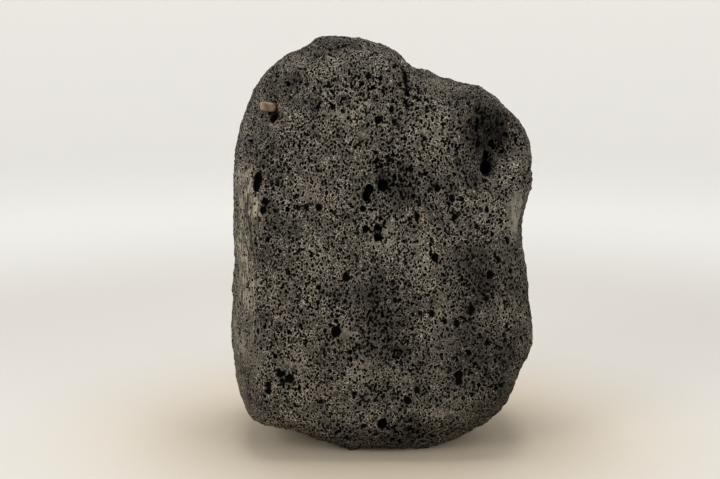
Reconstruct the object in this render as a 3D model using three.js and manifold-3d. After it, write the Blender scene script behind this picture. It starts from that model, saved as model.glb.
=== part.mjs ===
// A block of lava rock: one stone of dark vesicular basalt, standing upright on a small worn flat.
// Its broad front face looks along -Y. A brown pebble sits loose in a pocket high on its left.
//
// Millimetres, +Z up. The origin is on the ground, under the middle of the stone.
//
// The stone is star-shaped about its heart: every point of its skin is found by walking outwards
// from the heart until the front outline, the depth or one of the broken faces is met.

import * as THREE from "three";
import { ImprovedNoise } from "three/addons/math/ImprovedNoise.js";
import { mergeVertices } from "three/addons/utils/BufferGeometryUtils.js";
import Module from "manifold-3d";

const HEIGHT = 255;
const HALF_DEPTH = 75;
const HEART_Z = 125; // height of the point that the skin is measured from
const BASE_SINK = 7; // how far the stone would reach below the ground before it is worn flat
const GROUND_SIZE = [400, 400, 100]; // the block that wears the underside flat

const SKIN_DETAIL = 17; // rows of triangles on each side of the starting icosahedron
const BACK_SMOOTHING = 0.5; // the outline is averaged over this many radians either way at the back
const EDGE_SQUARENESS = 4.6; // 2 is an ellipse, larger numbers are boxier
const FACE_SHARPNESS = 24; // how crisply a broken face meets its neighbours
const RIM_SWELL = 0.5; // share of a swell that is left at the outline's rim
const LAYER_OFFSET = 7.3; // moves each layer of swells to its own part of the noise

const CAVITY_SIDES = [12, 8]; // columns and rows of a cavity's sphere
const FIT_GAP = 0.35; // clearance between the pebble and its pocket

// The brown pebble: length, thickness and height, where the skin holds it, and its blocky, uneven sides.
const PEBBLE = {
  size: [10, 6.4, 6],
  near: [-69, -42, 214],
  proud: 0.6, // how far its middle stands out of the skin
  tilt: 8,
  sides: [20, 12],
  roundness: 0.6, // 1 is an egg, smaller numbers are blockier
  bulge: 0.1,
  bulgeLength: 4,
};

// The open pocket under the pebble's right end: half sizes, and its place from the pebble's middle.
const POCKET = { half: [4.4, 5.5, 4.4], from: [3.6, 1.5, -2.6] };

// The outline seen from the front, as [x, z], anticlockwise from the right-hand waist.
const OUTLINE = [
  [86, 129], [86, 149], [92, 162], [92, 180], [90, 196], [82, 204],
  [67, 218], [56, 225], [42, 222], [30, 229], [20, 235], [6, 249],
  [-12, HEIGHT], [-36, HEIGHT - 0.5], [-47, 248], [-62, 241], [-73, 231],
  [-82, 212], [-89, 196], [-92, 171], [-91, 154], [-93, 137], [-91, 120],
  [-94, 90], [-94, 69], [-93, 48], [-89, 28], [-79, 15], [-62, 11],
  [-42, 4], [-22, -BASE_SINK + 1], [2, -BASE_SINK], [25, -BASE_SINK + 1],
  [44, 0], [63, 7], [77, 18], [83, 32], [87, 47], [94, 61], [95, 74],
  [92, 92], [90, 110],
];

// Broken faces, each a plane by its outward normal and its distance from the heart.
const BROKEN_FACES = [
  { normal: [0.03, -1, 0.05], distance: 70 }, // front
  { normal: [-0.85, -0.52, 0], distance: 105 }, // smooth strip down the left of the front
  { normal: [-0.58, -0.62, 0.53], distance: 113 }, // bevel over the pebble
  { normal: [-0.2, -0.72, 0.66], distance: 123 }, // upper front edge
  { normal: [0.1, -0.72, -0.69], distance: 124 }, // lower front, tucked under
  { normal: [0.86, -0.5, -0.1], distance: 106 }, // right front edge
  { normal: [0.62, -0.66, 0.42], distance: 112 }, // shoulder, in front
  { normal: [0.5, -0.5, -0.7], distance: 130 }, // right front foot
  { normal: [-0.12, 0.95, 0.28], distance: 71 }, // upper back
  { normal: [0.15, 0.93, -0.33], distance: 77 }, // lower back
  { normal: [-0.78, 0.6, 0.05], distance: 99 }, // left back corner
  { normal: [0.7, 0.68, 0.22], distance: 104 }, // right back corner
  { normal: [0.2, 0.4, 0.9], distance: 113 }, // top, sloping to the back
  { normal: [0.35, 0.55, -0.76], distance: 122 }, // lower back edge
];

// Swells and dips of the skin: wavelength and height of each layer.
const SWELLS = [
  { length: 62, height: 4.6 },
  { length: 27, height: 2.6 },
  { length: 13, height: 1.2 },
];

// Dips in the front, as centre, radius and depth.
const DIPS = [
  { at: [62, 194], radius: 24, depth: 5 }, // round the shoulder hollow
  { at: [67, 189], radius: 12, depth: 18 }, // the hollow's bowl
  { at: [63, 179], radius: 7, depth: 6 }, // lip of its throat
  { at: [-3, 92], radius: 13, depth: 4 }, // top of the forked valley
  { at: [-20, 70], radius: 12, depth: 4 }, // its left fork
  { at: [12, 68], radius: 12, depth: 4 }, // its right fork
  { at: [10, 172], radius: 13, depth: 3.5 }, // middle of the face
  { at: [12, 200], radius: 16, depth: 2.5 }, // below the crown
  { at: [-55, 52], radius: 13, depth: 3 }, // lower left
  { at: [-60, 214], radius: 9, depth: 2.5 }, // step beside the pebble
];

// Gas cavities too big to be left to the grain. Each is cut where the line from the heart through
// near meets the skin: half sizes, how far under the skin its middle lies as a share of its half
// depth, and turn about Y in degrees.
const CAVITIES = [
  { near: [67, -58, 189], half: [8, 10, 10], sink: -0.1, turn: -14 }, // bottom of the shoulder hollow
  { near: [65, -61, 179], half: [5.5, 20, 7], sink: 0.4, turn: 24 }, // its throat
  { near: [-9, -66, 166], half: [3.6, 8, 6.6], sink: 0.2, turn: 14 }, // central pair
  { near: [0, -65, 169], half: [4.2, 7, 4.6], sink: 0.1, turn: -10 },
  { near: [-3, -67, 141], half: [3.6, 8, 6.4], sink: 0.2, turn: 5 },
  { near: [0, -68, 25], half: [3.4, 6, 4.2], sink: 0.1, turn: 0 },
  { near: [-75, -66, 173], half: [3.2, 6, 4.4], sink: 0.1, turn: -12 },
  { near: [-71, -69, 157], half: [2.6, 5, 4.4], sink: 0.1, turn: -18 },
  { near: [13, -53, 233], half: [2.3, 7, 6.4], sink: 0.1, turn: 22 },
  { near: [-28, -72, 83], half: [3, 5, 3.6], sink: 0.1, turn: 15 },
  { near: [74, -63, 137], half: [3, 5, 3.2], sink: 0.1, turn: 0 },
  { near: [42, 64, 92], half: [6, 8, 7], sink: 0, turn: -30 }, // back
];

const heart = new THREE.Vector3(0, 0, HEART_Z);
const noise = new ImprovedNoise();
const reach = makeReach();

/** Radius of the front outline at an angle, read from a smooth closed curve through its points. */
function makeOutlineRadius() {
  const knots = OUTLINE.map(([x, z]) => new THREE.Vector3(x, 0, z));
  const samples = new THREE.CatmullRomCurve3(knots, true)
    .getPoints(OUTLINE.length * 12)
    .map((p) => ({
      angle: Math.atan2(p.z - HEART_Z, p.x),
      radius: Math.hypot(p.x, p.z - HEART_Z),
    }))
    .sort((a, b) => a.angle - b.angle);
  return (angle) => {
    const after = samples.findIndex((s) => s.angle > angle);
    const right = samples[Math.max(after, 0)];
    const left = samples[after > 0 ? after - 1 : samples.length - 1];
    const turn = 2 * Math.PI;
    const span = (right.angle - left.angle + turn) % turn || 1;
    const share = ((angle - left.angle + turn) % turn) / span;
    return THREE.MathUtils.lerp(left.radius, right.radius, share);
  };
}

/** The outline with its notches averaged away, for the back of the stone. */
function makeSoftRadius(outlineRadius) {
  const steps = [-1, -0.5, 0, 0.5, 1];
  return (angle) =>
    steps.reduce((sum, step) => sum + outlineRadius(wrap(angle + step * BACK_SMOOTHING)), 0) /
    steps.length;
}

/** An angle brought back between -PI and PI. */
function wrap(angle) {
  return Math.atan2(Math.sin(angle), Math.cos(angle));
}

/** Distance from the heart to the skin in a direction, before swells and dips. */
function makeReach() {
  const outlineRadius = makeOutlineRadius();
  const softRadius = makeSoftRadius(outlineRadius);
  const faces = BROKEN_FACES.map(({ normal, distance }) => ({
    normal: new THREE.Vector3(...normal).normalize(),
    distance,
  }));
  return (direction) => {
    const across = Math.hypot(direction.x, direction.z);
    const angle = Math.atan2(direction.z, direction.x);
    const backness = THREE.MathUtils.smoothstep(direction.y, 0, 0.5);
    const sideways = THREE.MathUtils.lerp(outlineRadius(angle), softRadius(angle), backness);
    const block =
      (across / sideways) ** EDGE_SQUARENESS +
      (Math.abs(direction.y) / HALF_DEPTH) ** EDGE_SQUARENESS;
    let crowding = block ** (FACE_SHARPNESS / EDGE_SQUARENESS);
    for (const { normal, distance } of faces)
      crowding += Math.max(normal.dot(direction) / distance, 0) ** FACE_SHARPNESS;
    return crowding ** (-1 / FACE_SHARPNESS);
  };
}

/** How far the skin stands out (or in, if negative) at a point, from the layered swells. */
function swellAt(point) {
  return SWELLS.reduce((sum, { length, height }, layer) => {
    const p = point.clone().divideScalar(length).addScalar(LAYER_OFFSET * layer);
    return sum + height * noise.noise(p.x, p.y, p.z);
  }, 0);
}

/** Depth of the front's dips at a point; none on the back. */
function dipAt(point) {
  if (point.y > 0) return 0;
  return DIPS.reduce((sum, { at: [x, z], radius, depth }) => {
    const away = Math.hypot(point.x - x, point.z - z) / radius;
    return sum + depth * Math.exp(-away * away);
  }, 0);
}

/** Where the line from the heart in a direction leaves the stone, with its swells and dips. */
function surfacePoint(direction) {
  const point = direction.clone().multiplyScalar(reach(direction)).add(heart);
  // On the outline's rim the swells are smaller, to keep the outline.
  const facing = THREE.MathUtils.lerp(RIM_SWELL, 1, Math.abs(direction.y));
  point.addScaledVector(direction, swellAt(point) * facing);
  point.y += dipAt(point);
  return point;
}

/** The same for the line through a given point, moved in by a depth. */
function pointUnder(near, depth) {
  const direction = new THREE.Vector3(...near).sub(heart).normalize();
  return surfacePoint(direction).addScaledVector(direction, -depth);
}

/** The skin as one closed mesh. */
function makeSkin() {
  const skin = new THREE.IcosahedronGeometry(1, SKIN_DETAIL);
  const places = skin.getAttribute("position");
  const direction = new THREE.Vector3();
  for (let i = 0; i < places.count; i++) {
    direction.fromBufferAttribute(places, i).normalize();
    const point = surfacePoint(direction);
    places.setXYZ(i, point.x, point.y, point.z);
  }
  return skin;
}

/** A sphere squeezed to half sizes and turned about Y. */
function makeEgg(half, turn = 0) {
  return new THREE.SphereGeometry(1, ...CAVITY_SIDES)
    .scale(...half)
    .rotateY(THREE.MathUtils.degToRad(turn));
}

function makeCavity({ near, half, sink, turn }) {
  const centre = pointUnder(near, sink * half[1]);
  return makeEgg(half, turn).translate(centre.x, centre.y, centre.z);
}

/** The worn pebble: a small block with well rounded, slightly uneven sides. */
function makePebble(grow = 0) {
  const half = PEBBLE.size.map((size) => size / 2 + grow);
  const pebble = new THREE.SphereGeometry(1, ...PEBBLE.sides);
  const places = pebble.getAttribute("position");
  for (let i = 0; i < places.count; i++) {
    const unit = [places.getX(i), places.getY(i), places.getZ(i)];
    const block = unit.map((u, axis) => Math.sign(u) * Math.abs(u) ** PEBBLE.roundness * half[axis]);
    const bulge = 1 + PEBBLE.bulge * noise.noise(...block.map((b) => b / PEBBLE.bulgeLength));
    places.setXYZ(i, ...block.map((b) => b * bulge));
  }
  const centre = pointUnder(PEBBLE.near, -PEBBLE.proud);
  return pebble
    .rotateY(THREE.MathUtils.degToRad(PEBBLE.tilt))
    .translate(centre.x, centre.y, centre.z);
}

/** The dark opening that the pebble's right end bridges. */
function makePocket() {
  const centre = pointUnder(PEBBLE.near, -PEBBLE.proud).add(new THREE.Vector3(...POCKET.from));
  return makeEgg(POCKET.half).translate(centre.x, centre.y, centre.z);
}

const wasm = await Module();
wasm.setup();

/** A closed three.js geometry as a solid that can be cut. */
function solidOf(geometry) {
  const bare = new THREE.BufferGeometry();
  bare.setAttribute("position", geometry.getAttribute("position"));
  if (geometry.index) bare.setIndex(geometry.index);
  const merged = mergeVertices(bare, 1e-3);
  const triVerts = dropThin(merged.index.array);
  return new wasm.Manifold(
    new wasm.Mesh({
      numProp: 3,
      vertProperties: new Float32Array(merged.getAttribute("position").array),
      triVerts,
    }),
  );
}

/** Leaves out triangles that merging has closed to a line, such as those at a sphere's poles. */
function dropThin(corners) {
  const kept = [];
  for (let i = 0; i < corners.length; i += 3) {
    const [a, b, c] = corners.slice(i, i + 3);
    if (a !== b && b !== c && c !== a) kept.push(a, b, c);
  }
  return new Uint32Array(kept);
}

function geometryOf(solid) {
  const mesh = solid.getMesh();
  const geometry = new THREE.BufferGeometry();
  geometry.setAttribute("position", new THREE.BufferAttribute(mesh.vertProperties, 3));
  geometry.setIndex(new THREE.BufferAttribute(mesh.triVerts, 1));
  geometry.computeVertexNormals();
  return geometry;
}

/** The stone: its skin, worn flat at the ground, less its cavities and the pebble's pocket. */
function makeStone() {
  const ground = new THREE.BoxGeometry(...GROUND_SIZE).translate(0, 0, -GROUND_SIZE[2] / 2);
  const cuts = [ground, ...CAVITIES.map(makeCavity), makePocket(), makePebble(FIT_GAP)];
  return cuts.reduce((stone, cut) => stone.subtract(solidOf(cut)), solidOf(makeSkin()));
}

const basalt = new THREE.MeshStandardMaterial({
  name: "basalt",
  color: new THREE.Color(0.07, 0.065, 0.06),
  roughness: 0.95,
  metalness: 0,
});
const brownGravel = new THREE.MeshStandardMaterial({
  name: "brown_gravel",
  color: new THREE.Color(0.3, 0.2, 0.13),
  roughness: 0.6,
  metalness: 0,
});

const stone = new THREE.Mesh(geometryOf(makeStone()), basalt);
stone.name = "lava_rock";

const pebble = new THREE.Mesh(makePebble(), brownGravel);
pebble.name = "lodged_pebble";

const lavaRock = new THREE.Group();
lavaRock.name = "lava_rock_with_pebble";
lavaRock.add(stone, pebble);

export default lavaRock;
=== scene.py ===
import math

import bmesh
import bpy
import numpy as np
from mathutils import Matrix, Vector


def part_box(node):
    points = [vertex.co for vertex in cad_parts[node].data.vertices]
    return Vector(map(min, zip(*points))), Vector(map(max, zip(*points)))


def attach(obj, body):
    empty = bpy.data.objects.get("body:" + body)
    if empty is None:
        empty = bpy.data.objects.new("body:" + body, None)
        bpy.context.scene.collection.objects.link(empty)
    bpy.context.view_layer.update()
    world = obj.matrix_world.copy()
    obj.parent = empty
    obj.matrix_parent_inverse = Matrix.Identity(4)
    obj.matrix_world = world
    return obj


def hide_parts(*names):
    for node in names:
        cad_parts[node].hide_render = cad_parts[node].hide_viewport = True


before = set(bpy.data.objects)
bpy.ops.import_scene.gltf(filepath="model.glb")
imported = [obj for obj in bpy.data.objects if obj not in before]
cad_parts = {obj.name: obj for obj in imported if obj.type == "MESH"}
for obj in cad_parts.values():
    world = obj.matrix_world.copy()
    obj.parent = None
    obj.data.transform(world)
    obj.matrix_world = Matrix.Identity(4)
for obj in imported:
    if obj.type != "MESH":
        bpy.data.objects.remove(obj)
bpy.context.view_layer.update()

# Lava rock: a block of vesicular basalt with a brown pebble caught in a pocket high on its left.
# +Z is up and the broad front looks along -Y. The scene is in metres. The stone and what is on it are
# given in millimetres, the room, the lamps and the camera in metres.

mm = 0.001


# A socket that can be written into sums: wire * 2 + 1 adds the Math nodes.
class Wire:
    def __init__(self, tree, node, socket):
        self.tree = tree
        self.node = node
        self.socket = socket

    def maths(self, operation, *others):
        terms = dict(enumerate((self, *others)))
        return self.tree.add("ShaderNodeMath", {"operation": operation}, terms)

    def turned(self, operation, other):
        return self.tree.add("ShaderNodeMath", {"operation": operation}, {0: other, 1: self})

    def __add__(self, other):
        return self.maths("ADD", other)

    def __radd__(self, other):
        return self.turned("ADD", other)

    def __sub__(self, other):
        return self.maths("SUBTRACT", other)

    def __rsub__(self, other):
        return self.turned("SUBTRACT", other)

    def __mul__(self, other):
        return self.maths("MULTIPLY", other)

    def __rmul__(self, other):
        return self.turned("MULTIPLY", other)

    def __truediv__(self, other):
        return self.maths("DIVIDE", other)

    def __rtruediv__(self, other):
        return self.turned("DIVIDE", other)

    def __pow__(self, other):
        return self.maths("POWER", other)

    def least(self, other):
        return self.maths("MINIMUM", other)

    def most(self, other):
        return self.maths("MAXIMUM", other)

    def other(self, name):  # another output of the same node
        return self.tree.output(self.node, name)


# A node tree of either kind, with one method for adding any node.
class Tree:
    def __init__(self, nodeTree):
        self.tree = nodeTree

    def output(self, node, name=None):
        live = [s for s in node.outputs if s.enabled and name in (None, s.name)]
        return Wire(self, node, live[0])

    def add(self, kind, settings=None, sockets=None, out=None):
        node = self.tree.nodes.new(kind)
        for name, value in (settings or {}).items():
            setattr(node, name, value)
        for name, value in (sockets or {}).items():
            self.feed(self.input(node, name), value)
        return self.output(node, out) if node.outputs else Wire(self, node, None)

    def input(self, node, name):
        if isinstance(name, int):
            return node.inputs[name]
        return [s for s in node.inputs if s.enabled and s.name == name][0]

    def feed(self, socket, value):
        if isinstance(value, list):
            for wire in value:
                self.tree.links.new(wire.socket, socket)
        elif isinstance(value, Wire):
            self.tree.links.new(value.socket, socket)
        else:
            socket.default_value = value

    # numbers between low and high become 0 to 1, smoothly
    def step(self, value, low, high):
        sockets = {"Value": value, "From Min": low, "From Max": high}
        return self.add("ShaderNodeMapRange", {"interpolation_type": "SMOOTHSTEP"}, sockets)

    def vector(self, operation, first, second=None, scale=None):
        sockets = {0: first}
        if second is not None:
            sockets[1] = second
        if scale is not None:
            sockets["Scale"] = scale
        return self.add("ShaderNodeVectorMath", {"operation": operation}, sockets)

    def noise(self, place, sizeMm, detail=2.0, roughness=0.5, distortion=0.0, out=None):
        sockets = {"Vector": place, "Scale": 1 / (sizeMm * mm), "Detail": detail,
                   "Roughness": roughness, "Distortion": distortion}
        return self.add("ShaderNodeTexNoise", None, sockets, out)

    def blend(self, factor, first, second):
        sockets = {"Factor": factor, "A": first, "B": second}
        return self.add("ShaderNodeMix", {"data_type": "RGBA"}, sockets)

    # 1 in the middle of a place, fading to 0 at its half size
    def nearness(self, place, middle, half):
        away = self.vector("SUBTRACT", place, tuple(v * mm for v in middle))
        scaled = self.vector("DIVIDE", away, tuple(v * mm for v in half))
        return self.step(self.vector("LENGTH", scaled), 1.0, 0.35)

    def anyNear(self, place, places):
        found = None
        for middle, half in places:
            near = self.nearness(place, middle, half)
            found = near if found is None else found.most(near)
        return found


# Lengths are in millimetres. A place is its middle and its half size.
stone = {
    "skinVoxel": 1.5,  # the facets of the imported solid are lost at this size
    "skinBlur": 60,  # rounds of smoothing
    "skinSoftness": 0.12,  # strength of the smoothing outside the hollow, where it is 1
    "grainVoxel": 0.5,  # cell of the grid that the bubbles are cut in
    "upright": 1.22,  # bubbles are this much taller than wide
    "triangles": {"rest": 60000, "front": 135000},  # what each side keeps when the mesh is thinned
    "frontEdge": -14,  # the front is all that lies before this y
    "mendRounds": 8,
    "hills": {"size": 17.0, "height": 3.0},
    "knobs": {"size": 5.5, "height": 1.5},
    "ragged": {"size": 2.8, "height": 0.65},
    "crumb": 20000,  # faces of the largest island that is dropped
    # Gas bubbles, in layers. A cell as wide as pitch holds at most one: share of the cells that do,
    # and its gain in coarse places, the radius range, with smaller ones commoner the higher the skew,
    # and the least radius that is cut out of the stone. The rest, and the pores, are only coloured: their
    # holes are painted shade.
    "bubbles": [
        {"pitch": 9.0, "share": 0.13, "gain": 2.0, "radius": (1.3, 2.2), "skew": 2.0, "cut": 0,
         "offset": (3.1, 0.7, 5.3)},
        {"pitch": 3.7, "share": 0.46, "gain": 0.6, "radius": (0.8, 1.35), "skew": 1.6, "cut": 0,
         "offset": (1.9, 8.2, 2.6)},
        {"pitch": 1.68, "share": 0.97, "gain": 0.0, "radius": (0.54, 0.92), "skew": 1.0, "cut": 0.84,
         "offset": (0, 0, 0)},
    ],
    "pores": {"pitch": 1.05, "share": 0.85, "gain": 0.0, "radius": (0.20, 0.40), "skew": 1.0,
              "offset": (6.1, 2.2, 0.4)},
    "hollow": ((66, -48, 187), (20, 30, 24)),  # the hollow in the shoulder
    "hollowShade": ((60, -48, 200), (26, 34, 27)),  # painted shade round the hollow
    "chip": ((82, -57, 150), (12, 17, 23)),  # a pale chip at the waist
    # a worn strip: begins where the stone reaches out to start this way, and is at its strongest at full
    "strip": {"towards": (-0.85, -0.52, 0), "start": 93.0, "full": 101.5, "wanderSize": 20, "wander": 17,
              "pale": (55, 125)},  # its pale colour fades out from the second height down to the first
    # where no light gets in: under the pebble, the throat of the hollow and a slot near the top
    "blackPlaces": [
        ((-64, -46, 209), (6, 10, 5.5)),
        ((63, -36, 177), (6, 20, 8)),
        ((13, -52, 232), (3, 14, 8)),
    ],
    # smooth, with few bubbles
    "densePlaces": [
        ((4, -68, 143), (6, 8, 9)),
        ((-11, -67, 157), (4, 8, 4)),
        ((-38, -68, 177), (5, 8, 3)),
        ((-67, -52, 202), (7, 10, 6)),
        ((-27, -55, 235), (6, 9, 5)),
        ((-12, -67, 200), (6, 8, 4)),
        ((39, -63, 192), (4, 8, 5)),
        ((59, -64, 162), (4, 8, 4)),
        ((-24, -71, 80), (9, 8, 8)),
        ((-57, -70, 62), (9, 9, 5)),
        ((42, -70, 73), (6, 8, 5)),
        ((36, -67, 29), (5, 9, 4)),
        ((14, -70, 52), (6, 9, 8)),
        ((-52, 60, 160), (16, 14, 14)),
        ((50, 68, 60), (15, 12, 18)),
    ],
    # with more of the large bubbles
    "coarsePlaces": [
        ((-3, -68, 92), (12, 14, 20)),
        ((-18, -70, 72), (12, 12, 13)),
        ((10, -70, 70), (12, 12, 13)),
        ((8, -64, 176), (22, 14, 15)),
        ((-4, -66, 150), (11, 12, 18)),
        ((20, -62, 222), (16, 16, 13)),
        ((-20, -60, 226), (26, 20, 16)),
        ((-56, -68, 50), (12, 12, 10)),
        ((60, -50, 200), (15, 18, 16)),
        ((-34, -64, 14), (28, 22, 14)),
        ((20, -64, 14), (34, 22, 16)),
        ((20, 70, 130), (34, 20, 26)),
        ((-40, 62, 60), (22, 20, 30)),
        ((-88, 10, 150), (20, 26, 34)),
        ((84, 14, 90), (20, 24, 30)),
    ],
    # painted shade: darker where the front lies in shade, in its valley, along the bottom and towards the
    # lower right
    "paintedShadePlaces": [
        ((-2, -68, 86), (26, 20, 40)),
        ((-64, -42, 228), (20, 28, 16)),
        ((74, -50, 34), (34, 40, 44)),
        ((52, -66, 66), (34, 30, 40)),
        ((60, -60, 112), (40, 30, 34)),
        ((0, -60, 4), (90, 40, 28)),
        ((6, -66, 170), (22, 14, 22)),
        ((30, 66, 190), (50, 30, 30)),
        ((-80, 30, 60), (30, 40, 40)),
    ],
    # single pits that stand out on the front, as x, z and radius
    "lonePits": [
        (-74, 173, 3.3), (-75, 169, 2.8), (-70, 160, 2.4), (-71, 155, 2.3), (-62, 172, 1.5),
        (-50, 157, 1.7), (-45, 157, 1.9), (-38, 157, 2.2), (-65, 208, 3.0), (-82, 107, 2.0),
        (-8, 167, 3.4), (-10, 163, 2.8), (0, 169, 3.3), (-3, 143, 2.5), (-3, 138, 2.6), (-9, 140, 1.6),
        (-22, 115, 2.5), (-15, 127, 1.4), (6, 112, 1.5), (6, 106, 1.5), (7, 101, 1.6),
        (31, 127, 2.2), (20, 151, 2.0), (41, 162, 2.2), (32, 168, 2.0), (56, 145, 1.8), (75, 136, 2.1),
        (5, 214, 1.8), (7, 207, 1.9), (-9, 234, 1.9), (11.5, 237.5, 1.5), (12.3, 234.5, 1.7),
        (13.2, 231.5, 2.0), (14, 228.5, 2.0),
        (-28, 82, 3.0), (22, 93, 1.7), (29, 93, 2.0), (53, 95, 2.4), (64, 116, 2.2), (77, 117, 1.9),
        (62, 102, 1.7), (37, 88, 1.9), (44, 87, 2.0), (46, 55, 2.6), (46, 51, 2.3), (63, 74, 1.8),
        (15, 39, 2.6), (21, 46, 2.0), (75, 84, 1.7), (74, 75, 1.6), (-62, 55, 2.2), (-56, 52, 2.7),
        (-69, 48, 2.2), (-69, 44, 2.0), (-50, 45, 1.6), (-37, 38, 1.7), (-17, 43, 1.8), (-21, 12, 2.2),
        (0, 24, 3.0), (11, 10, 1.9), (62, 184, 3.4), (67, 190, 2.7), (72, 186, 2.2), (57, 193, 2.0),
        (64, 199, 2.4), (74, 196, 2.0), (56, 202, 1.8), (69, 205, 2.0), (60, 208, 1.7),
    ],
}


# The worn strip down the left of the front, where the stone has rubbed smooth.
def leftStrip(tree, place):
    strip = stone["strip"]
    wander = (tree.noise(place, strip["wanderSize"], detail=4) - 0.5) * strip["wander"] * mm
    across = tree.vector("DOT_PRODUCT", place, Vector(strip["towards"]).normalized())
    return tree.step(across + wander, strip["start"] * mm, strip["full"] * mm)


# 0 in ordinary foam, 1 where the stone is dense and smooth
def denseness(tree, place):
    wander = tree.vector("SUBTRACT", tree.noise(place, 9, out="Color"), (0.5, 0.5, 0.5))
    bent = tree.vector("ADD", place, tree.vector("SCALE", wander, scale=9 * mm))
    patches = tree.anyNear(bent, stone["densePlaces"]) * 0.65
    return patches.most(tree.nearness(bent, *stone["chip"])).most(leftStrip(tree, place) * 0.75)


def coarseness(tree, place):
    return tree.anyNear(place, stone["coarsePlaces"])


# How the foam varies over the stone: how dense, how coarse and how open it is at a place.
def foamMood(tree, place):
    return denseness(tree, place), coarseness(tree, place), tree.noise(place, 24, detail=2)


# The bubble whose middle is nearest to a place in the squashed space: its middle, the distance
# to it and its own dice. The stone's shape and its colours both ask this, so that they agree.
def nearestBubble(tree, squatPlace, layer):
    offset = tuple(v * mm for v in layer["offset"])
    moved = tree.vector("ADD", squatPlace, offset)
    scale = 1 / (layer["pitch"] * mm)
    cell = tree.add("ShaderNodeTexVoronoi", None, {"Vector": moved, "Scale": scale}, "Distance")
    middle = tree.vector("SUBTRACT", cell.other("Position"), offset)
    dice = tree.add("ShaderNodeSeparateXYZ", None, {"Vector": cell.other("Color")}, "X")
    return middle, cell * (layer["pitch"] * mm), dice


# Radius of a bubble in metres, from its dice; 0 where its cell holds none.
def bubbleRadius(tree, layer, dice, mood):
    dense, coarse, openness = mood
    share = layer["share"] * (1 - 0.85 * dense) * (1 + layer["gain"] * coarse)
    low, high = layer["radius"]
    radius = (dice.other("Y") ** layer["skew"] * (high - low) + low) * mm
    grown = radius * (0.84 + 0.32 * openness) * (1 + 0.15 * coarse)
    held = tree.add("ShaderNodeMath", {"operation": "LESS_THAN"}, {0: dice, 1: share})
    return grown * held


# How far the walls are pulled out of true at a place, in the squashed space.
def raggedShift(tree, place):
    ragged = stone["ragged"]
    wander = tree.noise(place, ragged["size"], detail=3, out="Color")
    centred = tree.vector("SUBTRACT", wander, (0.5, 0.5, 0.5))
    return tree.vector("SCALE", centred, scale=2 * ragged["height"] * mm)


# One layer of bubbles as points: each point thrown on or under the skin moves to the bubble
# nearest to it, and those that meet are one.
def addBubbles(tree, skin, layer, seed):
    spots = []
    for i, depth in enumerate((0.0, 0.45)):
        sockets = {"Mesh": skin, "Density": 5 / (layer["pitch"] * mm) ** 2, "Seed": seed + i}
        thrown = tree.add("GeometryNodeDistributePointsOnFaces", None, sockets)
        inwards = tree.vector("SCALE", thrown.other("Normal"), scale=-depth * layer["pitch"] * mm)
        spots.append(tree.add("GeometryNodeSetPosition", None, {"Geometry": thrown, "Offset": inwards}))
    joined = tree.add("GeometryNodeJoinGeometry", None, {"Geometry": spots})
    position = tree.add("GeometryNodeInputPosition")
    middle, _, dice = nearestBubble(tree, position, layer)
    gathered = tree.add("GeometryNodeSetPosition", None, {"Geometry": joined, "Position": middle})
    sockets = {"Geometry": gathered, "Distance": 0.02 * mm}
    single = tree.add("GeometryNodeMergeByDistance", None, sockets)
    place = tree.vector("MULTIPLY", position, (1, 1, stone["upright"]))
    radius = bubbleRadius(tree, layer, dice, foamMood(tree, place))
    sized = tree.add("GeometryNodeSetPointRadius", None, {"Points": single, "Radius": radius})
    least = max(layer["cut"], 0.1) * mm
    fine = tree.add("FunctionNodeCompare", {"operation": "LESS_THAN"}, {"A": radius, "B": least})
    sockets = {"Geometry": sized, "Selection": fine}
    return tree.add("GeometryNodeDeleteGeometry", {"domain": "POINT"}, sockets)


# The single pits as points: each starts in front of the stone and flies back to its skin.
def addLonePits(tree, skin):
    starts = []
    for x, z, radius in stone["lonePits"]:
        start = (x * mm, -0.2, z * mm / stone["upright"])
        sockets = {"Count": 1, "Position": start, "Radius": radius * mm}
        starts.append(tree.add("GeometryNodePoints", None, sockets))
    joined = tree.add("GeometryNodeJoinGeometry", None, {"Geometry": starts})
    sockets = {"Target Geometry": skin, "Ray Direction": (0, 1, 0), "Ray Length": 0.3}
    landed = tree.add("GeometryNodeRaycast", None, sockets, "Hit Position")
    return tree.add("GeometryNodeSetPosition", None, {"Geometry": joined, "Position": landed})


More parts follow.
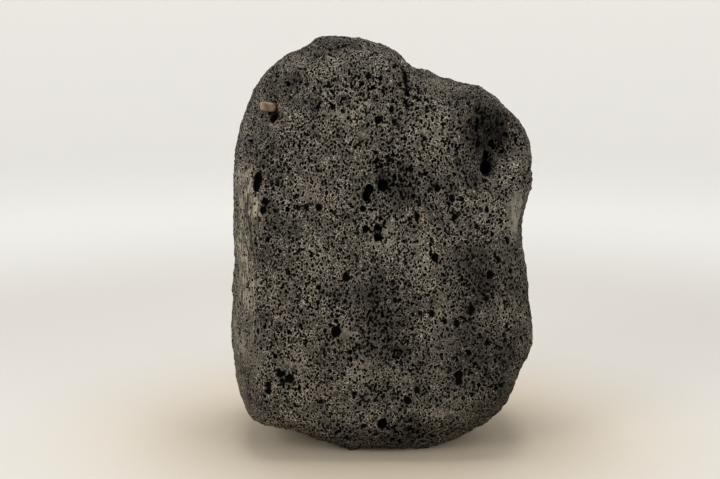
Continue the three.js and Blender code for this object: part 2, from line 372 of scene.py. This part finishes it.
# The stone's tree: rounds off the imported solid, roughens it, cuts the bubbles and notes their depth.
def makeFoamTree():
    group = bpy.data.node_groups.new("foamedStone", "GeometryNodeTree")
    kinds = {"Skin voxel": "Float", "Grain voxel": "Float", "Upright": "Float",
             "Stone material": "Material"}
    group.interface.new_socket("Geometry", in_out="INPUT", socket_type="NodeSocketGeometry")
    for name, kind in kinds.items():
        group.interface.new_socket(name, in_out="INPUT", socket_type="NodeSocket" + kind)
    group.interface.new_socket("Geometry", in_out="OUTPUT", socket_type="NodeSocketGeometry")
    tree = Tree(group)
    given = tree.add("NodeGroupInput", None, None, "Geometry")
    upright = given.other("Upright")

    # everything is cut in a space squashed by Upright, so that round bubbles come out tall
    squash = tree.add("ShaderNodeCombineXYZ", None, {"X": 1.0, "Y": 1.0, "Z": 1 / upright})
    stretch = tree.add("ShaderNodeCombineXYZ", None, {"X": 1.0, "Y": 1.0, "Z": upright})
    position = tree.add("GeometryNodeInputPosition")
    normal = tree.add("GeometryNodeInputNormal")
    place = tree.vector("MULTIPLY", position, stretch)

    squat = tree.add("GeometryNodeTransform", None, {"Geometry": given, "Scale": squash})
    sockets = {"Mesh": squat, "Voxel Size": given.other("Skin voxel")}
    solid = tree.add("GeometryNodeMeshToSDFGrid", None, sockets)
    even = tree.add("GeometryNodeGridToMesh", None, {"Grid": solid, "Threshold": 0.0, "Adaptivity": 0.0})
    least = stone["skinSoftness"]
    softness = tree.nearness(place, *stone["hollow"]) * (1 - least) + least
    rounded = tree.add("GeometryNodeBlurAttribute", {"data_type": "FLOAT_VECTOR"},
                       {"Value": position, "Iterations": stone["skinBlur"], "Weight": softness})
    smooth = tree.add("GeometryNodeSetPosition", None, {"Geometry": even, "Position": rounded})
    lift = 0
    for name in ("hills", "knobs"):
        size, height = stone[name]["size"], stone[name]["height"]
        lump = tree.noise(place, size, detail=4, roughness=0.6, distortion=0.4) - 0.5
        lift = lump * height * 2 * mm + lift
    lift = lift * (1 - 0.7 * leftStrip(tree, place))
    skin = tree.add("GeometryNodeSetPosition", None,
                    {"Geometry": smooth, "Offset": tree.vector("SCALE", normal, scale=lift)})

    layers = [addBubbles(tree, skin, layer, 10 * i) for i, layer in enumerate(stone["bubbles"])]
    layers.append(addLonePits(tree, skin))
    gas = tree.add("GeometryNodeJoinGeometry", None, {"Geometry": layers})
    voxel = given.other("Grain voxel")
    radius = tree.add("GeometryNodeInputRadius")
    sockets = {"Points": gas, "Radius": radius, "Voxel Size": voxel}
    gasGrid = tree.add("GeometryNodePointsToSDFGrid", None, sockets)
    skinGrid = tree.add("GeometryNodeMeshToSDFGrid", None, {"Mesh": skin, "Voxel Size": voxel})
    cut = tree.add("GeometryNodeSDFGridBoolean", {"operation": "DIFFERENCE"}, {0: skinGrid, 1: gasGrid})
    foam = tree.add("GeometryNodeGridToMesh", None, {"Grid": cut, "Threshold": 0.0, "Adaptivity": 0.0})

    # closed bubbles and loose crumbs are small islands, and go
    island = tree.add("GeometryNodeInputMeshIsland")
    count = tree.add("GeometryNodeAccumulateField", None, {"Value": 1.0, "Group ID": island}, "Total")
    crumb = tree.add("FunctionNodeCompare", {"operation": "LESS_THAN"}, {"A": count, "B": stone["crumb"]})
    whole = tree.add("GeometryNodeDeleteGeometry", None, {"Geometry": foam, "Selection": crumb})

    shift = raggedShift(tree, place)
    torn = tree.add("GeometryNodeSetPosition", None, {"Geometry": whole, "Offset": shift})

    depth = tree.add("GeometryNodeProximity", {"target_element": "FACES"}, {"Geometry": skin}, "Distance")
    marked = tree.add("GeometryNodeStoreNamedAttribute", None,
                      {"Geometry": torn, "Name": "pitDepth", "Value": depth / mm})

    tall = tree.add("GeometryNodeTransform", None, {"Geometry": marked, "Scale": stretch})
    # nothing reaches below the ground
    parts = tree.add("ShaderNodeSeparateXYZ", None, {"Vector": position}, "X")
    grounded = tree.add("ShaderNodeCombineXYZ", None,
                        {"X": parts, "Y": parts.other("Y"), "Z": parts.other("Z").most(0.0)})
    resting = tree.add("GeometryNodeSetPosition", None, {"Geometry": tall, "Position": grounded})
    real = tree.add("GeometryNodeRealizeInstances", None, {"Geometry": resting})
    dressed = tree.add("GeometryNodeSetMaterial", None,
                       {"Geometry": real, "Material": given.other("Stone material")})
    tree.add("NodeGroupOutput", None, {"Geometry": dressed})
    return group


def setInputs(modifier, values):
    for item in modifier.node_group.interface.items_tree:
        if item.in_out == "INPUT" and item.name in values:
            modifier[item.identifier] = values[item.name]


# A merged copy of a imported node, as an object of its own.
def copyNode(node, name):
    mesh = bmesh.new()
    mesh.from_mesh(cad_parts[node].data)
    bmesh.ops.remove_doubles(mesh, verts=mesh.verts, dist=0.001 * mm)
    data = bpy.data.meshes.new(name)
    mesh.to_mesh(data)
    mesh.free()
    piece = bpy.data.objects.new(name, data)
    bpy.context.scene.collection.objects.link(piece)
    return piece


# Turns the piece and its modifiers into one plain mesh.
def settle(piece):
    depsgraph = bpy.context.evaluated_depsgraph_get()
    made = bpy.data.meshes.new_from_object(piece.evaluated_get(depsgraph), preserve_all_data_layers=True,
                                           depsgraph=depsgraph)
    piece.modifiers.clear()
    piece.data = made
    made.name = piece.name


# Thins one side of the piece to a number of triangles, and leaves the rest of it as it is, because
# a corner outside the group never moves.
def thinSide(piece, side, triangles):
    mesh = piece.data
    places = np.empty(len(mesh.vertices) * 3, np.float32)
    mesh.vertices.foreach_get("co", places)
    isFront = places[1::3] < stone["frontEdge"] * mm
    loose = isFront if side == "front" else ~isFront
    corners = np.empty(len(mesh.loops), np.int32)
    mesh.loops.foreach_get("vertex_index", corners)
    starts = np.empty(len(mesh.polygons), np.int32)
    mesh.polygons.foreach_get("loop_start", starts)
    inside = np.diff(starts, append=len(corners)) - 2  # triangles in each face
    held = inside[~loose[corners[starts]]].sum()
    group = piece.vertex_groups.new(name="loose")
    group.add(np.flatnonzero(loose).tolist(), 1.0, "REPLACE")
    thin = piece.modifiers.new("thin", "DECIMATE")
    thin.ratio = (held + triangles) / inside.sum()
    thin.vertex_group = group.name
    settle(piece)
    piece.vertex_groups.clear()
    left = sum(len(face.vertices) - 2 for face in piece.data.polygons)
    print("stone:", side, "thinned from", inside.sum() - held, "triangles,", left, "in all")


# Closes what the thinning tore. Faces along an edge that doesn't join two of them are filled anew.
def mend(piece):
    mesh = bmesh.new()
    mesh.from_mesh(piece.data)
    bmesh.ops.dissolve_degenerate(mesh, dist=0.001 * mm, edges=mesh.edges)
    for _ in range(stone["mendRounds"]):
        torn = [face for face in mesh.faces if any(len(edge.link_faces) != 2 for edge in face.edges)]
        bmesh.ops.delete(mesh, geom=torn, context="FACES")
        rims = [edge for edge in mesh.edges if len(edge.link_faces) == 1]
        bmesh.ops.holes_fill(mesh, edges=rims, sides=0)
    odd = sum(len(edge.link_faces) != 2 for edge in mesh.edges)
    print("stone: mended,", odd, "edges don't join two faces")
    mesh.to_mesh(piece.data)
    mesh.free()


# Lays the skin out flat as the six sides of its box, on a map named OFBake.
def layOut(mesh):
    corners = np.empty(len(mesh.vertices) * 3)
    mesh.vertices.foreach_get("co", corners)
    corners = corners.reshape(-1, 3)
    low, high = corners.min(axis=0), corners.max(axis=0)
    width, depth, height = high - low
    vertexOf = np.empty(len(mesh.loops), int)
    mesh.loops.foreach_get("vertex_index", vertexOf)
    middles = np.empty(len(mesh.polygons) * 3)
    mesh.polygons.foreach_get("center", middles)
    away = (middles.reshape(-1, 3) - (low + high) / 2) / (high - low)
    axis = np.abs(away).argmax(axis=1)
    side = 2 * axis + (away[np.arange(len(axis)), axis] > 0)
    counts = np.empty(len(mesh.polygons), int)
    mesh.polygons.foreach_get("loop_total", counts)
    side = np.repeat(side, counts)
    x, y, z = (corners[vertexOf] - low).T
    gap = 4 * mm
    upper = height + gap
    sheets = [
        (depth - y, z + upper),  # left
        (y + 2 * (width + gap), z),  # right
        (x, z),  # front
        (width - x + width + gap, z),  # back
        (x + depth + width + 2 * gap, depth - y + upper),  # underside
        (x + depth + gap, y + upper),  # top
    ]
    across = np.choose(side, [sheet[0] for sheet in sheets])
    up = np.choose(side, [sheet[1] for sheet in sheets])
    flat = np.stack((across, up), axis=1) / max(across.max(), up.max())
    layer = mesh.uv_layers.new(name="OFBake")
    layer.uv.foreach_set("vector", flat.astype(np.float32).ravel())


def makeStone(material):
    piece = copyNode("lava_rock", "foamed_stone")
    foam = piece.modifiers.new("foam", "NODES")
    foam.node_group = makeFoamTree()
    setInputs(foam, {"Skin voxel": stone["skinVoxel"] * mm, "Grain voxel": stone["grainVoxel"] * mm,
                     "Upright": stone["upright"], "Stone material": material})
    settle(piece)
    print("stone: foamed,", len(piece.data.polygons), "faces")
    for side, triangles in stone["triangles"].items():
        thinSide(piece, side, triangles)
    mend(piece)
    for corner in piece.data.vertices:  # thinning can push one under the ground
        corner.co.z = max(corner.co.z, 0)
    piece.data.shade_smooth()
    layOut(piece.data)
    return piece


def newMaterial(name):
    material = bpy.data.materials.new(name)
    material.use_nodes = True
    material.node_tree.nodes.clear()
    return material, Tree(material.node_tree)


def finishMaterial(tree, sockets):
    surface = tree.add("ShaderNodeBsdfPrincipled", None, sockets)
    tree.add("ShaderNodeOutputMaterial", None, {"Surface": surface})


# Distance from a place to the wall of the nearest bubble in millimetres, below 0 inside it.
def wallDistance(tree, squatPlace, layers, mood):
    found = None
    for layer in layers:
        _, away, dice = nearestBubble(tree, squatPlace, layer)
        wall = (away - bubbleRadius(tree, layer, dice, mood)) / mm
        found = wall if found is None else found.least(wall)
    return found


basalt = {
    "web": (0.090, 0.080, 0.065),
    # pale tone, and the painted highlight on the rims of the holes
    "rim": (0.580, 0.512, 0.420),
    "body": (0.020, 0.018, 0.0155),
    "brown": (0.135, 0.098, 0.064),
    # painted shade of the holes: on their walls, and blacker deeper in
    "holeWallShade": (0.008, 0.007, 0.006),
    "pit": (0.0022, 0.0019, 0.0016),
    "dense": (0.200, 0.178, 0.142),
    "chip": (0.275, 0.253, 0.212),
    "streak": (0.500, 0.440, 0.330),
    "dark": (0.024, 0.022, 0.019),
    "paleFleck": (0.60, 0.55, 0.46),
    "rustyFleck": (0.45, 0.23, 0.07),
    "fleckPitch": 4.5,  # in millimetres, as are the sizes of the noises below
    "thread": 1.3,
    "grain": 0.7,
    "warmth": 8,
    "blotch": 26,
    "smear": 11,
    "facet": 3,
    "scratch": 1.5,
}


def makeBasalt():
    material, tree = newMaterial("basaltFoam")
    colours = {name: (*value, 1) for name, value in basalt.items() if isinstance(value, tuple)}
    place = tree.add("ShaderNodeTexCoord", None, None, "Object")
    depth = tree.add("ShaderNodeAttribute", {"attribute_name": "pitDepth"}, None, "Fac")
    mood = foamMood(tree, place)
    dense = mood[0]

    squat = tree.vector("MULTIPLY", place, (1, 1, 1 / stone["upright"]))
    untorn = tree.vector("SUBTRACT", squat, raggedShift(tree, place))
    wall = wallDistance(tree, untorn, stone["bubbles"], mood)
    # inside the holes the colour is painted shade: dark walls, black deeper in and in the places where no
    # light gets in
    hole = tree.step(wall, 0.17, -0.10).most(tree.step(depth, 0.5, 1.6))
    black = tree.anyNear(place, stone["blackPlaces"])
    deepShade = tree.step(wall, 0.0, -0.28).most(tree.step(depth, 0.9, 2.0)).most(black)
    poreWall = wallDistance(tree, untorn, [stone["pores"]], mood)
    pore = tree.step(poreWall, 0.08, -0.12) * (1 - 0.5 * dense)
    smear = tree.step(tree.noise(place, basalt["smear"], detail=3), 0.42, 0.62)
    # the rims of the holes, where a painted highlight goes
    edge = tree.step(wall, 0.52, 0.16) * (1 - hole) * (1 - 0.5 * smear)
    heights = tree.add("ShaderNodeSeparateXYZ", None, {"Vector": place}, "Z")
    foot, top = stone["strip"]["pale"]
    strip = leftStrip(tree, place) * tree.step(heights, foot * mm, top * mm)

    thread = tree.noise(place, basalt["thread"], detail=3, roughness=0.7)
    grain = tree.noise(place, basalt["grain"], detail=3, roughness=0.65)
    warmth = tree.noise(place, basalt["warmth"], detail=3, roughness=0.6)
    blotch = tree.noise(place, basalt["blotch"], detail=3, roughness=0.6)
    drawn = tree.vector("MULTIPLY", place, (1, 1, 0.14))
    streak = tree.noise(drawn, basalt["scratch"], detail=3, roughness=0.6)

    colour = tree.blend(tree.step(thread, 0.42, 0.62), colours["body"], colours["web"])
    colour = tree.blend(tree.step(warmth, 0.50, 0.70) * 0.6, colour, colours["brown"])
    smooth = dense.most(smear * 0.3)
    colour = tree.blend(smooth * (0.15 + 0.6 * thread), colour, colours["dense"])
    colour = tree.blend(strip * tree.step(streak, 0.44, 0.62) * 0.9, colour, colours["streak"])
    colour = tree.blend(strip * tree.step(streak, 0.46, 0.34) * 0.8, colour, colours["body"])
    # painted highlight along the rims of the holes; next, pale blotches in the same colour
    colour = tree.blend(edge * tree.step(grain, 0.40, 0.62), colour, colours["rim"])
    colour = tree.blend(tree.step(blotch, 0.48, 0.30) * 0.20, colour, colours["rim"])
    colour = tree.blend(tree.step(blotch, 0.50, 0.66) * 0.55, colour, colours["dark"])
    # painted shade round the hollow
    hollowShade = tree.nearness(place, *stone["hollowShade"])
    # painted shade of the shaded places, joined with that round the hollow
    shade = (tree.anyNear(place, stone["paintedShadePlaces"]) * 0.5).most(hollowShade * 0.85)
    colour = tree.blend(shade, colour, colours["dark"])
    flattened = tree.vector("MULTIPLY", place, (1, 1, 0.4))
    facet = tree.noise(flattened, basalt["facet"], detail=4, roughness=0.7)
    chipped = tree.nearness(place, *stone["chip"]) * tree.step(facet, 0.36, 0.60)
    colour = tree.blend(chipped, colour, colours["chip"])
    # painted shade in the pores and holes, standing in for the light that doesn't reach into them
    colour = tree.blend(pore * 0.8, colour, colours["holeWallShade"])
    colour = tree.blend(hole, colour, colours["holeWallShade"])
    colour = tree.blend(deepShade, colour, colours["pit"])

    # a few pale and rusty grains
    sockets = {"Vector": place, "Scale": 1 / (basalt["fleckPitch"] * mm)}
    spot = tree.add("ShaderNodeTexVoronoi", None, sockets, "Distance")
    draw = tree.add("ShaderNodeSeparateColor", None, {"Color": spot.other("Color")}, "Red")
    fleck = tree.step(spot, 0.16, 0.10) * tree.step(draw, 0.965, 0.97) * (1 - hole)
    hue = tree.blend(draw.other("Green"), colours["paleFleck"], colours["rustyFleck"])
    colour = tree.blend(fleck, colour, hue)

    height = (grain - 0.5) * 0.3 + (thread - 0.5) * 0.5 + (streak - 0.5) * strip * 0.8
    height = height - hole * 0.7 - pore * 0.3
    bump = tree.add("ShaderNodeBump", None, {"Strength": 0.9, "Distance": 1.0 * mm, "Height": height})
    sockets = {"Base Color": colour, "Roughness": 0.8 + 0.2 * grain, "Specular IOR Level": 0.05,
               "Normal": bump}
    finishMaterial(tree, sockets)
    return material


gravel = {
    "tan": (0.215, 0.142, 0.077),
    "brown": (0.070, 0.045, 0.026),
    "pale": (0.38, 0.28, 0.17),
    "streak": 1.1,  # in millimetres, as is the size of the patches
    "patch": 3.4,
    "rounding": 2,  # levels of subdivision
}


def makeGravel():
    material, tree = newMaterial("brownGravel")
    place = tree.add("ShaderNodeTexCoord", None, None, "Object")
    low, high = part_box("lodged_pebble")
    x = tree.add("ShaderNodeSeparateXYZ", None, {"Vector": place}, "X")
    streaked = tree.vector("MULTIPLY", place, (0.35, 1, 1))
    streak = tree.noise(streaked, gravel["streak"], detail=4, roughness=0.6)
    patch = tree.noise(place, gravel["patch"], detail=3)
    colour = tree.blend(tree.step(patch, 0.35, 0.65), (*gravel["tan"], 1), (*gravel["brown"], 1))
    colour = tree.blend(tree.step(streak, 0.45, 0.7) * 0.5, colour, (*gravel["brown"], 1))
    end = tree.step(x, low[0] + 0.4 * (high[0] - low[0]), low[0])
    colour = tree.blend(end * 0.7, colour, (*gravel["pale"], 1))
    bump = tree.add("ShaderNodeBump", None, {"Strength": 0.5, "Distance": 0.2 * mm, "Height": streak})
    finishMaterial(tree, {"Base Color": colour, "Roughness": 0.45 + 0.2 * patch, "Normal": bump})
    return material


def makePebble(material):
    piece = copyNode("lodged_pebble", "worn_pebble")
    soften = piece.modifiers.new("soften", "SUBSURF")
    soften.levels = gravel["rounding"]
    soften.render_levels = gravel["rounding"]
    settle(piece)
    piece.data.materials.clear()
    piece.data.materials.append(material)
    piece.data.shade_smooth()
    return piece


# A round floor that bends up into a low wall, so that every side of the stone has the same ground.
room = {
    "floor": (0.76, 0.73, 0.68),
    "wall": (0.80, 0.79, 0.76),
    # painted warm shade and bounce round the stone's foot
    "paintedFootShade": (0.66, 0.49, 0.26),
    "radius": 1.7,
    "bend": 0.4,
    "height": 1.0,
    "sides": 96,
    "bendSteps": 10,
    "glow": 0.28,
}


def makeSweep():
    rings = []
    for i in range(room["bendSteps"] + 1):
        turn = math.radians(90) * i / room["bendSteps"]
        out = room["bend"] * math.sin(turn)
        up = room["bend"] * (1 - math.cos(turn))
        rings.append((room["radius"] + out, up))
    rings.append((room["radius"] + room["bend"], room["height"]))
    sides = room["sides"]
    points = [(0, 0, 0)]
    for radius, z in rings:
        for i in range(sides):
            turn = math.tau * i / sides
            points.append((radius * math.cos(turn), radius * math.sin(turn), z))
    faces = [(0, 1 + i, 1 + (i + 1) % sides) for i in range(sides)]
    for ring in range(len(rings) - 1):
        for i in range(sides):
            this = 1 + ring * sides + i
            beside = 1 + ring * sides + (i + 1) % sides
            faces.append((this, this + sides, beside + sides, beside))
    data = bpy.data.meshes.new("sweep")
    data.from_pydata(points, [], faces)
    data.shade_smooth()
    sweep = bpy.data.objects.new("sweep", data)
    bpy.context.scene.collection.objects.link(sweep)
    material, tree = newMaterial("paleBoard")
    place = tree.add("ShaderNodeTexCoord", None, None, "Object")
    away = tree.vector("LENGTH", place)
    colour = tree.blend(tree.step(away, 0.45, 0.80), (*room["floor"], 1), (*room["wall"], 1))
    # painted warm shade and bounce on the floor round the stone's foot
    colour = tree.blend(tree.step(away, 0.27, 0.06) * 0.5, colour, (*room["paintedFootShade"], 1))
    glow = tree.blend(tree.step(away, 0.4, 1.0), (0, 0, 0, 1), (*room["wall"], 1))
    finishMaterial(tree, {"Base Color": colour, "Roughness": 0.8, "Emission Color": glow,
                          "Emission Strength": room["glow"]})
    data.materials.append(material)


lighting = {
    "allRound": (1.0, 0.99, 0.97),
    "strength": 0.42,
    "lamps": [
        {"name": "overhead", "place": (0, 0.1, 1.25), "aim": (0, 0, 0.1), "size": 0.7, "power": 8},
        {"name": "frontLeft", "place": (-0.9, -1, 0.75), "aim": (0, 0, 0.06), "size": 0.6, "power": 6},
        {"name": "frontRight", "place": (0.95, -0.95, 0.65), "aim": (0, 0, 0.06), "size": 0.6,
         "power": 2.8},
    ],
}


def addLamp(name, place, aim, size, power):
    lamp = bpy.data.lights.new(name, "AREA")
    lamp.shape = "SQUARE"
    lamp.size = size
    lamp.energy = power
    holder = bpy.data.objects.new(name, lamp)
    holder.location = place
    holder.rotation_euler = (Vector(aim) - Vector(place)).to_track_quat("-Z", "Y").to_euler()
    holder.visible_camera = False
    bpy.context.scene.collection.objects.link(holder)


def makeLight():
    world = bpy.data.worlds.new("softRoom")
    world.use_nodes = True
    background = world.node_tree.nodes["Background"]
    background.inputs["Color"].default_value = (*lighting["allRound"], 1)
    background.inputs["Strength"].default_value = lighting["strength"]
    bpy.context.scene.world = world
    for lamp in lighting["lamps"]:
        addLamp(**lamp)


# The camera stands in front and looks a little down: the lens is in millimetres, the tilt in degrees.
view = {"place": (-0.0136, -0.944, 0.292), "tilt": 80, "lens": 75, "sensor": 36}


def makeCamera():
    data = bpy.data.cameras.new("camera")
    data.lens = view["lens"]
    data.sensor_width = view["sensor"]
    camera = bpy.data.objects.new("camera", data)
    camera.location = view["place"]
    camera.rotation_euler = (math.radians(view["tilt"]), 0, 0)
    bpy.context.scene.collection.objects.link(camera)
    bpy.context.scene.camera = camera
    bpy.context.scene.view_settings.view_transform = "Standard"


makeCamera()
makeSweep()
makeLight()
print("room: done")
stonePiece = makeStone(makeBasalt())
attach(stonePiece, "root")
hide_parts("lava_rock")
pebblePiece = makePebble(makeGravel())
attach(pebblePiece, "root")
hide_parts("lodged_pebble")
print("pebble: done")
